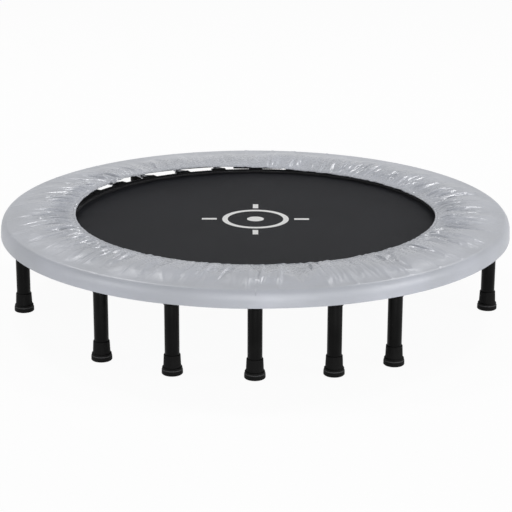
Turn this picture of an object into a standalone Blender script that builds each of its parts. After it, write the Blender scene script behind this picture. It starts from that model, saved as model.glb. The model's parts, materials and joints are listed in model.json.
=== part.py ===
"""Folding mini trampoline: a round tube frame in two halves that fold up on two short hinge channels,
a mat in its sewn rim band with springs, a padded spring cover, and twelve screw-in legs with rubber feet.

Metres, +Z up. The origin is on the floor under the middle of the mat. The side seen in the photograph
faces -Y. Azimuths are measured from -Y and grow towards +X.
"""
import math

import bmesh
import bpy
from mathutils import Matrix, Vector

# Overall sizes: the frame ring is measured to its tube's middle, and heights are of the tube and mat
FRAME_RADIUS = 0.470
DECK_HEIGHT = 0.160
TUBE_DIAMETER = 0.0254
TUBE_WALL = 0.0014
FIT_GAP = 0.0003
JOIN_OVERLAP = 0.001

# Fold hinge: a U channel with two bolts, and a flat tongue in each tube end
BOLT_OFFSET = 0.035
BOLT_DIAMETER = 0.008
BOLT_HEAD_ACROSS = 0.013
BOLT_HEAD_HEIGHT = 0.0053
NUT_HEIGHT = 0.0065
BOLT_END = 0.0015
HOLE_CLEARANCE = 0.00035
TONGUE_THICKNESS = 0.012
TONGUE_HEIGHT = 0.022
TONGUE_INSERT = 0.018
TUBE_END_GAP = 0.015
CHANNEL_WALL = 0.003
CHANNEL_SIDE_CLEARANCE = 0.0005
CHANNEL_OVERRUN = 0.0155
CHANNEL_LIP = 0.001
STOP_GAP = 0.001

# Mat, its rim band and the springs
MAT_TO_FRAME = 0.0953
MAT_THICKNESS = 0.002
BAND_WIDTH = 0.0175
BAND_THICKNESS = 0.003
FOLD_GAP = 0.0025
TAB_LENGTH = 0.010
TAB_WIDTH = 0.030
TAB_THICKNESS = 0.0024
SPRING_COUNT = 30
SPRING_DIAMETER = 0.015
SPRING_HOOK_DIAMETER = 0.0036
SPRING_HOOK_LENGTH = 0.0045
SPRING_TAPER = 0.004
SPRING_SEAT_GAP = 0.0014

# Padded cover over the springs
PAD_OVERHANG = 0.040
PAD_EDGE_ROUNDING = 0.014
PAD_OVER_MAT = 0.0142
PAD_TUBE_GAP = 0.0018
PAD_CREASE_RISE = 0.0027
PAD_CROWN_RISE = 0.0100
PAD_INNER_RISE = 0.0041
PAD_INNER_HEM = 0.002
PAD_UNDERSIDE_INSET = 0.009
SKIRT_DROP = 0.015
SKIRT_THICKNESS = 0.002
SKIRT_FLARE = 0.0015
PAD_SPLIT_OFFSET = 0.025
GATHER_DEPTH = 0.0016
GATHER_WIDTH = 0.075
TOP_SHARES = (0.84, 0.62, 0.38, 0.16, 0.0)
CROWN_LEAN = 0.8

# Legs and feet
LEG_DIAMETER = 0.027
LEG_WALL = 0.0015
LEG_PLUG = 0.022
STUD_DIAMETER = 0.010
STUD_LENGTH = 0.018
STUD_CLEARANCE = 0.0004
SOCKET_LENGTH = 0.0145
SOCKET_STEP = 0.002
FOOT_WALL = 0.002
FOOT_GRIP_GAP = 0.00045
FOOT_TAPER = 0.00125
FOOT_FLANGE_STEP = 0.00225
FOOT_HEIGHT = 0.0375
FOOT_FLANGE_HEIGHT = 0.014
FOOT_SOLE = 0.006
FOOT_ROUNDING = 0.003
LEG_AZIMUTHS = {
    "left": (-18.5, -36.9, -77.3, -114.0, -146.0),
    "right": (17.7, 32.8, 80.0, 114.0, 146.0),
}

# Facets
TUBE_SIDES = 10
TUBE_STEPS = 30
TONGUE_ROUND_STEPS = 8
MAT_STEPS = 28
MIDDLE_STEPS = 4
PAD_STEPS = 56
PAD_FOLD_STEPS = 8
SPRING_SIDES = 6
TURNED_SIDES = 12

# Worked out from the sizes above
TUBE_RADIUS = TUBE_DIAMETER / 2
TUBE_END_X = BOLT_OFFSET + TONGUE_HEIGHT / 2 + TUBE_END_GAP
HINGE_Y = math.sqrt(FRAME_RADIUS**2 - TUBE_END_X**2)
CHANNEL_INSIDE = TONGUE_THICKNESS + 2 * CHANNEL_SIDE_CLEARANCE
CHANNEL_WIDTH = CHANNEL_INSIDE + 2 * CHANNEL_WALL
CHANNEL_BASE = -TONGUE_HEIGHT / 2 - STOP_GAP - CHANNEL_WALL
CHANNEL_TOP = TONGUE_HEIGHT / 2 + CHANNEL_LIP
MAT_RADIUS = FRAME_RADIUS - MAT_TO_FRAME
BAND_INNER_RADIUS = MAT_RADIUS + FIT_GAP
BAND_OUTER_RADIUS = BAND_INNER_RADIUS + BAND_WIDTH
PAD_OUTER_RADIUS = FRAME_RADIUS + PAD_OVERHANG
PAD_CREASE_RADIUS = PAD_OUTER_RADIUS - PAD_EDGE_ROUNDING
PAD_INNER_RADIUS = MAT_RADIUS - PAD_OVER_MAT
PAD_BASE = DECK_HEIGHT + max(TUBE_RADIUS, CHANNEL_TOP) + PAD_TUBE_GAP
PAD_SPLIT_X = BOLT_OFFSET + PAD_SPLIT_OFFSET
LEG_TOP = DECK_HEIGHT - TUBE_RADIUS - FIT_GAP - SOCKET_LENGTH


def make_material(name, colour, roughness, metallic=0.0):
    material = bpy.data.materials.new(name)
    material.use_nodes = True
    shader = material.node_tree.nodes["Principled BSDF"]
    shader.inputs["Base Color"].default_value = (*colour, 1.0)
    shader.inputs["Roughness"].default_value = roughness
    shader.inputs["Metallic"].default_value = metallic
    return material


def make_materials():
    return {
        "frame_black": make_material("frame_black", (0.012, 0.012, 0.013), 0.35),
        "bolt_zinc": make_material("bolt_zinc", (0.55, 0.56, 0.58), 0.35, 1.0),
        "spring_steel": make_material("spring_steel", (0.50, 0.51, 0.53), 0.35, 1.0),
        "mat_black": make_material("mat_black", (0.035, 0.036, 0.040), 0.75),
        "pad_grey": make_material("pad_grey", (0.42, 0.43, 0.45), 0.45),
        "rubber_black": make_material("rubber_black", (0.020, 0.020, 0.022), 0.6),
    }


def finish_mesh(name, bm, material, pivot, smooth=True):
    """Closes a mesh's facing, links it as one object, and hangs it on its body's empty."""
    bmesh.ops.recalc_face_normals(bm, faces=bm.faces)
    mesh = bpy.data.meshes.new(name)
    bm.to_mesh(mesh)
    bm.free()
    if smooth:
        mesh.shade_smooth()
        mesh.set_sharp_from_angle(angle=math.radians(40))
    piece = bpy.data.objects.new(name, mesh)
    bpy.context.scene.collection.objects.link(piece)
    if material:
        mesh.materials.append(material)
    if pivot:
        piece.parent = pivot
        piece.matrix_parent_inverse = Matrix.Translation(-pivot.location)
    return piece


def join_rings(bm, rings, closed_path=False, caps=True):
    """Skins equal rings of points into a closed tube, with an n-gon on each open end."""
    loops = [[bm.verts.new(point) for point in ring] for ring in rings]
    spans = list(zip(loops, loops[1:]))
    if closed_path:
        spans.append((loops[-1], loops[0]))
    for first, second in spans:
        for i in range(len(first)):
            j = (i + 1) % len(first)
            bm.faces.new((first[i], first[j], second[j], second[i]))
    if caps and not closed_path:
        bm.faces.new(loops[0])
        bm.faces.new(loops[-1])


def turned(name, profile, sides, material, pivot=None):
    """A piece turned about Z from a closed profile of (radius, height) that stays off the axis."""
    bm = bmesh.new()
    rings = []
    for step in range(sides):
        angle = 2 * math.pi * step / sides
        rings.append([(r * math.cos(angle), r * math.sin(angle), z) for r, z in profile])
    join_rings(bm, rings, closed_path=True)
    return finish_mesh(name, bm, material, pivot)


def turned_solid(name, profile, sides, material, pivot=None):
    """A piece turned about Z from an open profile of (radius, height), closed by a flat face at each end."""
    bm = bmesh.new()
    rings = []
    for r, z in profile:
        angles = [2 * math.pi * step / sides for step in range(sides)]
        rings.append([(r * math.cos(a), r * math.sin(a), z) for a in angles])
    join_rings(bm, rings)
    return finish_mesh(name, bm, material, pivot)


def slab(name, outline, low, high, material, pivot=None):
    """A flat piece: an outline in X and Y, extruded from low to high."""
    bm = bmesh.new()
    join_rings(bm, [[(x, y, low) for x, y in outline], [(x, y, high) for x, y in outline]])
    return finish_mesh(name, bm, material, pivot)


def cut(piece, cutter):
    """Takes a hidden cutter out of a piece."""
    cutter.hide_render = True
    cutter.display_type = "WIRE"
    modifier = piece.modifiers.new("cut_" + cutter.name, "BOOLEAN")
    modifier.operation = "DIFFERENCE"
    modifier.object = cutter


def unite(piece, parts):
    """Joins hidden overlapping parts to a piece, as welding or sewing does."""
    group = bpy.data.collections.new(piece.name + "_parts")
    bpy.context.scene.collection.children.link(group)
    for part in parts:
        part.hide_render = True
        part.display_type = "WIRE"
        bpy.context.scene.collection.objects.unlink(part)
        group.objects.link(part)
    modifier = piece.modifiers.new("unite_parts", "BOOLEAN")
    modifier.operation = "UNION"
    modifier.operand_type = "COLLECTION"
    modifier.collection = group


def ring_point(radius, azimuth, height):
    """The point at an azimuth in radians from -Y, growing towards +X."""
    return Vector((radius * math.sin(azimuth), -radius * math.cos(azimuth), height))


def even_steps(start, end, steps):
    return [start + (end - start) * i / steps for i in range(steps + 1)]


def wing_azimuths(radius, start_x, side, steps):
    """Azimuths along the half of a circle outside the plane at start_x, from its front to its back."""
    start = math.asin(start_x / radius)
    values = even_steps(start, math.pi - start, steps)
    return values if side == "right" else [-value for value in values]


def middle_azimuths(radius, reach, end, steps):
    """Azimuths along the short arc of a circle within reach of the plane X = 0, at the front or the back."""
    half = math.asin(reach / radius)
    values = even_steps(-half, half, steps)
    return values if end == "front" else [math.pi - value for value in values]


def build_frame_half(side, material, pivot):
    """Half the frame ring: a bent tube with a flat tongue welded into each end."""
    sign = 1 if side == "right" else -1
    bm = bmesh.new()
    inner_radius = TUBE_RADIUS - TUBE_WALL
    rings = []
    for azimuth in wing_azimuths(FRAME_RADIUS, TUBE_END_X, side, TUBE_STEPS):
        for_wall = []
        for radius in (TUBE_RADIUS, inner_radius):
            for k in range(TUBE_SIDES):
                turn = 2 * math.pi * (k + 0.5) / TUBE_SIDES
                along = FRAME_RADIUS + radius * math.cos(turn)
                for_wall.append(ring_point(along, azimuth, DECK_HEIGHT + radius * math.sin(turn)))
        rings.append(for_wall)
    loops = [[bm.verts.new(point) for point in ring] for ring in rings]
    for first, second in zip(loops, loops[1:]):
        for wall in (0, TUBE_SIDES):
            for k in range(TUBE_SIDES):
                a, b = wall + k, wall + (k + 1) % TUBE_SIDES
                bm.faces.new((first[a], first[b], second[b], second[a]))
    for loop in (loops[0], loops[-1]):
        for k in range(TUBE_SIDES):
            j = (k + 1) % TUBE_SIDES
            bm.faces.new((loop[k], loop[j], loop[TUBE_SIDES + j], loop[TUBE_SIDES + k]))
    frame = finish_mesh(f"frame_{side}", bm, material, pivot)

    tongues = []
    for end, hinge_y in (("front", -HINGE_Y), ("back", HINGE_Y)):
        tongues.append(build_tongue(f"tongue_{side}_{end}", sign, hinge_y, pivot))
        hole = build_cross_hole(
            f"tongue_hole_{side}_{end}", sign * BOLT_OFFSET, hinge_y, TONGUE_THICKNESS * 2, pivot
        )
        tongues[-1]["hole"] = hole.name
    unite(frame, tongues)
    for tongue in tongues:
        cut(frame, bpy.data.objects[tongue["hole"]])
    return frame


def build_tongue(name, sign, hinge_y, pivot):
    """A flat bar along X, full round about the bolt and plain where it runs into the tube."""
    half = TONGUE_HEIGHT / 2
    far = TUBE_END_X + TONGUE_INSERT
    outline = [(far, -half), (far, half)]
    for angle in even_steps(math.pi / 2, math.pi * 1.5, TONGUE_ROUND_STEPS):
        outline.append((BOLT_OFFSET + half * math.cos(angle), half * math.sin(angle)))
    low, high = hinge_y - TONGUE_THICKNESS / 2, hinge_y + TONGUE_THICKNESS / 2
    rings = [[(sign * x, y, DECK_HEIGHT + z) for x, z in outline] for y in (low, high)]
    bm = bmesh.new()
    join_rings(bm, rings)
    return finish_mesh(name, bm, None, pivot)


def build_cross_hole(name, x, y, length, pivot):
    """A cutter along Y for a bolt's hole."""
    bm = bmesh.new()
    radius = BOLT_DIAMETER / 2 + HOLE_CLEARANCE
    rings = []
    for end in (-length / 2, length / 2):
        angles = [2 * math.pi * k / TURNED_SIDES for k in range(TURNED_SIDES)]
        rings.append(
            [(x + radius * math.cos(a), y + end, DECK_HEIGHT + radius * math.sin(a)) for a in angles]
        )
    join_rings(bm, rings)
    return finish_mesh(name, bm, None, pivot)


def build_hinge_channel(end, material, pivot):
    """The U channel that the two tongues turn in: two walls on a base, open at the top."""
    y = -HINGE_Y if end == "front" else HINGE_Y
    half_length = BOLT_OFFSET + CHANNEL_OVERRUN
    outer, inner = CHANNEL_WIDTH / 2, CHANNEL_INSIDE / 2
    floor = CHANNEL_BASE + CHANNEL_WALL
    section = [
        (-outer, CHANNEL_BASE), (outer, CHANNEL_BASE), (outer, CHANNEL_TOP), (inner, CHANNEL_TOP),
        (inner, floor), (-inner, floor), (-inner, CHANNEL_TOP), (-outer, CHANNEL_TOP),
    ]
    rings = [[(x, y + across, DECK_HEIGHT + up) for across, up in section] for x in (-half_length, half_length)]
    bm = bmesh.new()
    join_rings(bm, rings)
    channel = finish_mesh(f"hinge_channel_{end}", bm, material, pivot)
    for side, sign in (("left", -1), ("right", 1)):
        name = f"channel_hole_{end}_{side}"
        cut(channel, build_cross_hole(name, sign * BOLT_OFFSET, y, CHANNEL_WIDTH * 2, pivot))
    return channel


def hexagon(across, height_low, height_high):
    """The two rings of a hexagonal prism about Z, by its width across flats."""
    radius = across / math.sqrt(3)
    angles = [math.pi / 3 * k for k in range(6)]
    return [[(radius * math.cos(a), radius * math.sin(a), z) for a in angles] for z in (height_low, height_high)]


def build_hinge_bolt(end, side, material, pivot):
    """A hex bolt along Y, head outside, with its nut on the mat's side."""
    outward = -1 if end == "front" else 1
    x = BOLT_OFFSET if side == "right" else -BOLT_OFFSET
    half = CHANNEL_WIDTH / 2
    head_face = half + FIT_GAP
    tip = -half - FIT_GAP - NUT_HEIGHT - BOLT_END
    shank = BOLT_DIAMETER / 2
    bm = bmesh.new()
    join_rings(bm, hexagon(BOLT_HEAD_ACROSS, head_face, head_face + BOLT_HEAD_HEIGHT))
    angles = [2 * math.pi * k / TURNED_SIDES for k in range(TURNED_SIDES)]
    rod = [[(shank * math.cos(a), shank * math.sin(a), z) for a in angles] for z in (tip, head_face + JOIN_OVERLAP)]
    bolt = finish_mesh(f"hinge_bolt_{end}_{side}", bm, material, pivot, smooth=False)
    bm = bmesh.new()
    join_rings(bm, rod)
    shank_part = finish_mesh(f"bolt_shank_{end}_{side}", bm, None, pivot)
    bm = bmesh.new()
    join_rings(bm, hexagon(BOLT_HEAD_ACROSS, -half - FIT_GAP - NUT_HEIGHT, -half - FIT_GAP))
    nut = finish_mesh(f"hinge_nut_{end}_{side}", bm, material, pivot, smooth=False)
    bm = bmesh.new()
    bore = shank + HOLE_CLEARANCE
    bore_ends = (-half - NUT_HEIGHT * 2, -half + NUT_HEIGHT)
    join_rings(bm, [[(bore * math.cos(a), bore * math.sin(a), z) for a in angles] for z in bore_ends])
    nut_bore = finish_mesh(f"nut_bore_{end}_{side}", bm, None, pivot)
    place = Vector((x, outward * HINGE_Y, DECK_HEIGHT))
    for part in (bolt, shank_part, nut, nut_bore):
        part.rotation_euler = (-outward * math.pi / 2, 0, 0)
        part.location = place
    unite(bolt, [shank_part])
    cut(nut, nut_bore)


def build_mat_half(side, material, pivot):
    """One half of the mat, from just outside its fold line to the rim band."""
    azimuths = wing_azimuths(MAT_RADIUS, BOLT_OFFSET + FOLD_GAP, side, MAT_STEPS)
    outline = [tuple(ring_point(MAT_RADIUS, a, 0).xy) for a in azimuths]
    low, high = DECK_HEIGHT - MAT_THICKNESS / 2, DECK_HEIGHT + MAT_THICKNESS / 2
    return slab(f"mat_{side}", outline, low, high, material, pivot)


def build_mat_middle(material, pivot):
    """The strip of mat between the two fold lines."""
    reach = BOLT_OFFSET - FOLD_GAP
    azimuths = middle_azimuths(MAT_RADIUS, reach, "front", MIDDLE_STEPS)
    front = [tuple(ring_point(MAT_RADIUS, a, 0).xy) for a in azimuths]
    back = [(x, -y) for x, y in reversed(front)]
    low, high = DECK_HEIGHT - MAT_THICKNESS / 2, DECK_HEIGHT + MAT_THICKNESS / 2
    return slab("mat_middle", front + back, low, high, material, pivot)


def build_spring(name, azimuth, seat_radius, pivot):
    """A spring as its outer shape: a coil body with tapered ends and a round hook each way, along the radius."""
    coil, hook = SPRING_DIAMETER / 2, SPRING_HOOK_DIAMETER / 2
    start = BAND_OUTER_RADIUS + TAB_LENGTH / 2
    body_start = BAND_OUTER_RADIUS + TAB_LENGTH + SPRING_HOOK_LENGTH / 2
    body_end = seat_radius - SPRING_HOOK_LENGTH
    profile = [
        (hook, start), (hook, body_start), (coil, body_start + SPRING_TAPER),
        (coil, body_end - SPRING_TAPER), (hook, body_end), (hook, seat_radius),
    ]
    spring = turned_solid(name, profile, SPRING_SIDES, None, pivot)
    spring.rotation_euler = (math.pi / 2, 0, azimuth)
    spring.location = (0, 0, DECK_HEIGHT)
    return spring


def build_tab(name, azimuth, pivot):
    """The webbing tab that holds a spring's ring."""
    near, far = BAND_OUTER_RADIUS - JOIN_OVERLAP, BAND_OUTER_RADIUS + TAB_LENGTH
    half = TAB_WIDTH / 2
    outline = [(-half, -far), (half, -far), (half, -near), (-half, -near)]
    tab = slab(name, outline, -TAB_THICKNESS / 2, TAB_THICKNESS / 2, None, pivot)
    tab.rotation_euler = (0, 0, azimuth)
    tab.location = (0, 0, DECK_HEIGHT)
    return tab


def build_spring_set(name, azimuth_rows, spring_azimuths, seat_radius, material, pivot):
    """A length of the mat's rim band with its tabs and springs sewn and hooked on as one piece."""
    low, high = DECK_HEIGHT - BAND_THICKNESS / 2, DECK_HEIGHT + BAND_THICKNESS / 2
    inner_row, outer_row = azimuth_rows
    rings = []
    for inner, outer in zip(inner_row, outer_row):
        rings.append([
            ring_point(BAND_INNER_RADIUS, inner, low), ring_point(BAND_OUTER_RADIUS, outer, low),
            ring_point(BAND_OUTER_RADIUS, outer, high), ring_point(BAND_INNER_RADIUS, inner, high),
        ])
    bm = bmesh.new()
    join_rings(bm, rings)
    band = finish_mesh(name, bm, material, pivot)
    parts = []
    for number, azimuth in enumerate(spring_azimuths, 1):
        parts.append(build_tab(f"{name}_tab_{number}", azimuth, pivot))
        parts.append(build_spring(f"{name}_spring_{number}", azimuth, seat_radius, pivot))
    unite(band, parts)
    return band


def build_springs(material, pivots):
    """Half the springs on each wing, less the two that meet the hinge channels."""
    pitch = 2 * math.pi / SPRING_COUNT
    tube_seat = FRAME_RADIUS - TUBE_RADIUS - SPRING_SEAT_GAP
    channel_seat = HINGE_Y - CHANNEL_WIDTH / 2 - FIT_GAP
    fold_x = BOLT_OFFSET + FOLD_GAP
    for side, sign in (("left", -1), ("right", 1)):
        rows = [wing_azimuths(r, fold_x, side, MAT_STEPS) for r in (BAND_INNER_RADIUS, BAND_OUTER_RADIUS)]
        azimuths = [sign * pitch * k for k in range(1, SPRING_COUNT // 2)]
        build_spring_set(f"spring_set_{side}", rows, azimuths, tube_seat, material, pivots[side])
    reach = BOLT_OFFSET - FOLD_GAP
    for end, azimuth in (("front", 0.0), ("back", math.pi)):
        rows = [middle_azimuths(r, reach, end, MIDDLE_STEPS) for r in (BAND_INNER_RADIUS, BAND_OUTER_RADIUS)]
        build_spring_set(f"spring_set_{end}", rows, [azimuth], channel_seat, material, pivots["middle"])


def pad_section(gather):
    """The cover's closed section as (radius, height): skirt, rounded edge, crowned top, thin inner edge, underside.

    Gather lifts or lowers the inner part of the top, fading to nothing over GATHER_WIDTH.
    """
    crease, inner_top = PAD_BASE + PAD_CREASE_RISE, PAD_BASE + PAD_INNER_RISE
    hem = DECK_HEIGHT - SKIRT_DROP
    skirt_middle = (hem + crease) / 2
    width = PAD_CREASE_RADIUS - PAD_INNER_RADIUS
    top = []
    for share in TOP_SHARES:
        radius = PAD_INNER_RADIUS + share * width
        rise = math.sin(math.pi * share ** CROWN_LEAN)
        height = inner_top + (PAD_CROWN_RISE - PAD_INNER_RISE) * rise
        fade = max(0.0, 1 - (radius - PAD_INNER_RADIUS) / GATHER_WIDTH)
        top.append((radius, height + gather * GATHER_DEPTH * fade))
    skirt_inside = PAD_OUTER_RADIUS - SKIRT_THICKNESS
    return [
        (PAD_OUTER_RADIUS, hem), (PAD_OUTER_RADIUS - SKIRT_FLARE, skirt_middle),
        (PAD_CREASE_RADIUS, crease), *top,
        (PAD_INNER_RADIUS, inner_top - PAD_INNER_HEM), (PAD_INNER_RADIUS + GATHER_WIDTH / 2, PAD_BASE),
        (PAD_CREASE_RADIUS - PAD_UNDERSIDE_INSET, PAD_BASE), (skirt_inside - SKIRT_FLARE, skirt_middle),
        (skirt_inside, hem),
    ]


def build_pad(name, azimuths_at, steps, material, pivot):
    """A length of the padded cover: its section carried round the ring, with the top's gathers up and down."""
    rings = []
    for step in range(steps + 1):
        at_end = step in (0, steps)
        gather = 0.0 if at_end else (1.0 if step % 2 else -1.0)
        section = pad_section(gather)
        rings.append([ring_point(radius, azimuths_at(radius)[step], height) for radius, height in section])
    bm = bmesh.new()
    join_rings(bm, rings)
    return finish_mesh(name, bm, material, pivot)


def build_pads(material, pivots):
    """The cover's two halves, and the two lengths of it that cross the hinges and crumple there."""
    for side in ("left", "right"):
        build_pad(
            f"pad_{side}",
            lambda radius, side=side: wing_azimuths(radius, PAD_SPLIT_X, side, PAD_STEPS),
            PAD_STEPS, material, pivots[side],
        )
    reach = PAD_SPLIT_X - FIT_GAP
    for end in ("front", "back"):
        build_pad(
            f"pad_fold_{end}",
            lambda radius, end=end: middle_azimuths(radius, reach, end, PAD_FOLD_STEPS),
            PAD_FOLD_STEPS, material, pivots["middle"],
        )


def build_leg(name, place, socket_top, materials, pivot):
    """A leg as three pieces: the welded socket with its stud, the tube with a threaded plug, the rubber foot."""
    leg, wall = LEG_DIAMETER / 2, LEG_WALL
    stud = STUD_DIAMETER / 2
    socket_profile = [
        (stud, LEG_TOP - STUD_LENGTH), (stud, LEG_TOP + FIT_GAP),
        (leg + SOCKET_STEP, LEG_TOP + FIT_GAP), (leg + SOCKET_STEP, socket_top),
    ]
    socket = turned_solid(f"leg_socket_{name}", socket_profile, TURNED_SIDES, materials["frame_black"], pivot)

    bore = stud + STUD_CLEARANCE
    leg_profile = [
        (bore, LEG_TOP), (leg, LEG_TOP), (leg, FOOT_SOLE + FIT_GAP), (leg - wall, FOOT_SOLE + FIT_GAP),
        (leg - wall, LEG_TOP - LEG_PLUG), (bore, LEG_TOP - LEG_PLUG),
    ]
    tube = turned(f"leg_{name}", leg_profile, TURNED_SIDES, materials["frame_black"], pivot)

    grip = leg + FOOT_GRIP_GAP
    sleeve = grip + FOOT_WALL
    waist = sleeve + FOOT_TAPER
    flange = waist + FOOT_FLANGE_STEP
    foot_profile = [
        (flange - FOOT_ROUNDING, 0), (flange, FOOT_ROUNDING), (flange, FOOT_FLANGE_HEIGHT),
        (waist, FOOT_FLANGE_HEIGHT), (sleeve, FOOT_HEIGHT), (grip, FOOT_HEIGHT), (grip, FOOT_SOLE),
    ]
    foot = turned_solid(f"foot_{name}", foot_profile, TURNED_SIDES, materials["rubber_black"], pivot)
    for piece in (socket, tube, foot):
        piece.location = (place.x, place.y, 0)


def build_legs(materials, pivots):
    """Five legs on each half of the frame, and one under each hinge channel."""
    tube_underside = DECK_HEIGHT - TUBE_RADIUS - FIT_GAP
    channel_underside = DECK_HEIGHT + CHANNEL_BASE - FIT_GAP
    for side, azimuths in LEG_AZIMUTHS.items():
        for number, degrees in enumerate(azimuths, 1):
            place = ring_point(FRAME_RADIUS, math.radians(degrees), 0)
            build_leg(f"{side}_{number}", place, tube_underside, materials, pivots[side])
    for end, y in (("front", -HINGE_Y), ("back", HINGE_Y)):
        build_leg(f"hinge_{end}", Vector((0, y, 0)), channel_underside, materials, pivots["middle"])


def make_pivots():
    """An empty for each rigid body, on its fold axis."""
    places = {"middle": (0, 0, DECK_HEIGHT), "left": (-BOLT_OFFSET, 0, DECK_HEIGHT),
              "right": (BOLT_OFFSET, 0, DECK_HEIGHT)}
    pivots = {}
    for name, place in places.items():
        pivot = bpy.data.objects.new(f"pivot_{name}", None)
        bpy.context.scene.collection.objects.link(pivot)
        pivot.location = place
        pivots[name] = pivot
    return pivots


def main():
    for piece in list(bpy.data.objects):
        bpy.data.objects.remove(piece, do_unlink=True)
    materials = make_materials()
    pivots = make_pivots()
    for side in ("left", "right"):
        build_frame_half(side, materials["frame_black"], pivots[side])
        build_mat_half(side, materials["mat_black"], pivots[side])
    for end in ("front", "back"):
        build_hinge_channel(end, materials["frame_black"], pivots["middle"])
        for side in ("left", "right"):
            build_hinge_bolt(end, side, materials["bolt_zinc"], pivots["middle"])
    build_mat_middle(materials["mat_black"], pivots["middle"])
    build_springs(materials["spring_steel"], pivots)
    build_pads(materials["pad_grey"], pivots)
    build_legs(materials, pivots)


main()
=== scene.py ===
# %% [markdown]
# # A folding mini trampoline
# The imported model is a fixed frame with the right sizes and plain solids. This lesson dresses it: each
# sub-part is worked out as a surface with numpy and gets its finish from shader nodes, and the stiff ones hang
# under the body that carries them. Lengths are metres, +Z is up, and the photograph looks along +Y. Azimuths
# start at -Y and grow towards +X.

# %% Load the frame
import json
import math

import bmesh
import bpy
import numpy as np
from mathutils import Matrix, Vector


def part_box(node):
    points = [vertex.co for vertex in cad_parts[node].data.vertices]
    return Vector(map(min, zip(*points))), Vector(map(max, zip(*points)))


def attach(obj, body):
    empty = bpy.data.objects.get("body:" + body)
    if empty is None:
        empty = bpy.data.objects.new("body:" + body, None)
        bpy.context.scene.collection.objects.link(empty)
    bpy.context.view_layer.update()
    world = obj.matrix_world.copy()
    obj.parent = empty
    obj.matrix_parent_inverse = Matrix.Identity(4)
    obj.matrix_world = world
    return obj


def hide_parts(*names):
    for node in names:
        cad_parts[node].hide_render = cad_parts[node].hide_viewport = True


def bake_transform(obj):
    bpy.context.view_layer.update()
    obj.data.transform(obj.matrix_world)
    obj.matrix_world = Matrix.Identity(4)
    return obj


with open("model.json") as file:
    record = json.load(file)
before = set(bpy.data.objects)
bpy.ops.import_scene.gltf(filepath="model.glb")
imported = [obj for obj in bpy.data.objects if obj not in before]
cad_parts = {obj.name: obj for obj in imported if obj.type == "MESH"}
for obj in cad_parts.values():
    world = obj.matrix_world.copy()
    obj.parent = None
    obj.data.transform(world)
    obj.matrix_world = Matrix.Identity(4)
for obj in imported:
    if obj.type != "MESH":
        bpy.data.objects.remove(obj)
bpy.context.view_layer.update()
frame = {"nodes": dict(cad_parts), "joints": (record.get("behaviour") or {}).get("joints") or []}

# %% [markdown]
# ## Sizes from the frame
# The pieces must sit where the solids sit, so the main sizes are read from the boxes of the solids. Only
# sizes that no box shows, such as the ring's tube or a wire, are written as numbers.

# %% Read the driving sizes
right_fold = next(joint for joint in frame["joints"] if joint["name"] == "right_fold")
FOLD_X, _, DECK = right_fold["pos_m"]
pad_low, pad_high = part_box("pad_right")
PAD_R, HEM_Z = pad_high[0], pad_low[2]
channel_low, channel_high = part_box("hinge_channel_front")
HINGE_Y = -(channel_low[1] + channel_high[1]) / 2
CHANNEL_HALF = (channel_high[1] - channel_low[1]) / 2
FRAME_R = 0.470
TUBE_R = 0.0127
WINGS = {"left": -1.0, "right": 1.0}
ENDS = {"front": -1.0, "back": 1.0}
print(f"fold at x={FOLD_X:.3f}, deck {DECK:.3f}, cover radius {PAD_R:.3f}, hinge y {HINGE_Y:.3f}")

# %% [markdown]
# ## Camera
# The photograph was matched with a long lens about 3.5 m away, looking down by 17.5 degrees. Shift and
# depth of field stay off, so other views of the same scene stay true.

# %% Camera
CAMERA_PLACE = (0.0013, -3.5, 1.185)
CAMERA_PITCH = 17.49
CAMERA_ROLL = -0.2
FOCAL_PIXELS = 1809.0
FRAME_PIXELS = 512


def add_object(name, data):
    """An object for a camera, a mesh or a lamp, linked into the scene."""
    thing = bpy.data.objects.new(name, data)
    bpy.context.scene.collection.objects.link(thing)
    return thing


camera_data = bpy.data.cameras.new("camera")
camera_data.sensor_width = 36.0
camera_data.lens = FOCAL_PIXELS * camera_data.sensor_width / FRAME_PIXELS
camera = add_object("camera", camera_data)
camera.location = CAMERA_PLACE
tilt = math.radians(CAMERA_PITCH)
roll = math.radians(CAMERA_ROLL)
camera.rotation_euler = (math.pi / 2 - tilt, roll * math.cos(tilt), -roll * math.sin(tilt))
bpy.context.scene.camera = camera
print(f"lens {camera_data.lens:.1f} mm")

# %% [markdown]
# ## Shader maths as expressions
# A finish is easier to read as a formula than as a web of nodes. `Value` wraps a socket, and arithmetic on
# it adds the Math nodes. `Nodes.node` adds any other node from its type, its settings and its inputs.


# %% Shader helpers
def math_node(operation, flipped=False):
    """A method that adds a Math node. Flipped, the value comes last, as in 1 - value."""
    def method(value, *others):
        terms = (*others, value) if flipped else (value, *others)
        return value.nodes.node("Math", {"operation": operation}, dict(enumerate(terms)))
    return method


class Value:
    """A number that changes over a surface. Arithmetic on it adds Math nodes."""

    def __init__(self, nodes, socket):
        self.nodes, self.socket = nodes, socket

    __add__ = __radd__ = math_node("ADD")
    __mul__ = __rmul__ = math_node("MULTIPLY")
    __sub__, __rsub__ = math_node("SUBTRACT"), math_node("SUBTRACT", flipped=True)
    __pow__, __abs__ = math_node("POWER"), math_node("ABSOLUTE")
    sine, at_most = math_node("SINE"), math_node("MINIMUM")
    above, below = math_node("GREATER_THAN"), math_node("LESS_THAN")

    def between(self, low, high):
        """1 where the value lies between two numbers, and 0 elsewhere."""
        return self.above(low) * self.below(high)

    def wave(self, pitch):
        """A sine wave of the value, with one period to each pitch."""
        return (self * (2 * math.pi / pitch)).sine()

    def ramp(self, low, high, to_low=0.0, to_high=1.0):
        """Runs smoothly from to_low to to_high as the value goes from low to high."""
        settings = {"interpolation_type": "SMOOTHSTEP"}
        inputs = {"Value": self, "From Min": low, "From Max": high, "To Min": to_low, "To Max": to_high}
        return self.nodes.node("MapRange", settings, inputs)


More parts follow.
